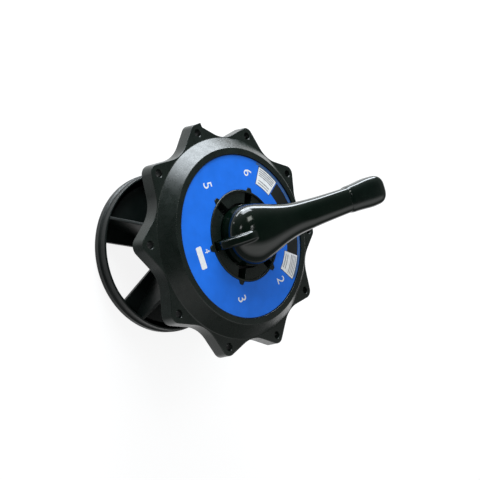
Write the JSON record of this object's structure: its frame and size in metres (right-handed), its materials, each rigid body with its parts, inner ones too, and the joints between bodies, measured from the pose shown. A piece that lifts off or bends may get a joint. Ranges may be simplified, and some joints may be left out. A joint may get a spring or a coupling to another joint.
{
  "type": "multiport valve key and cover with handle",
  "caption": "Star-flanged valve cover with a blue position ring, a lever handle over its hub, and the ported valve key on its stem and spring below.",
  "frame": {"origin": "on the valve axis, at the top face of the bolt flange, in the middle of the bolt circle", "axes": "+Z along the valve axis out of the cover, +X along the handle, +Y by the right-hand rule"},
  "size_m": [0.2551, 0.2172, 0.185],
  "materials": {
    "black_cover": "satin",
    "black_key": "satin",
    "black_handle": "gloss",
    "grip_rubber": "matte",
    "seal_rubber": "matte",
    "label_print": "gloss",
    "bush_plastic": "satin",
    "stainless": "brushed"
  },
  "bodies": {
    "cover": {"cover": "black_cover", "position_label": "label_print", "cover_seal": "seal_rubber", "stem_bush": "bush_plastic", "stem_wiper": "seal_rubber", "slip_ring": "bush_plastic"},
    "turntable": {"heel_wear_plate": "stainless", "upper_spring_washer": "stainless", "spring": "stainless"},
    "key": {"key_rotor": "black_key", "stem": "stainless", "upper_stem_seal": "seal_rubber", "lower_stem_seal": "seal_rubber", "lower_spring_washer": "stainless", "drive_key": "stainless", "foot_washer": "stainless", "foot_screw": "stainless"},
    "handle": {"handle": "black_handle", "handle_grip": "grip_rubber", "handle_pin": "stainless"}
  },
  "joints": [
    {"name": "turn", "type": "hinge", "parent": "cover", "child": "turntable", "pos_m": [0, 0, 0], "axis": [0, 0, 1], "continuous": true},
    {"name": "lift", "type": "slide", "parent": "turntable", "child": "key", "axis": [0, 0, 1], "range_m": [0, 0.005], "stiffness_N_per_m": 8700, "springref_m": -0.015, "deforming": ["spring"]},
    {"name": "press", "type": "hinge", "parent": "key", "child": "handle", "pos_m": [0, 0, 0.016], "axis": [0, 1, 0], "range_deg": [0, 15.1]}
  ],
  "couplings": [
    {"joint": "press", "follows": "lift", "rad_per_m": 52.63}
  ]
}
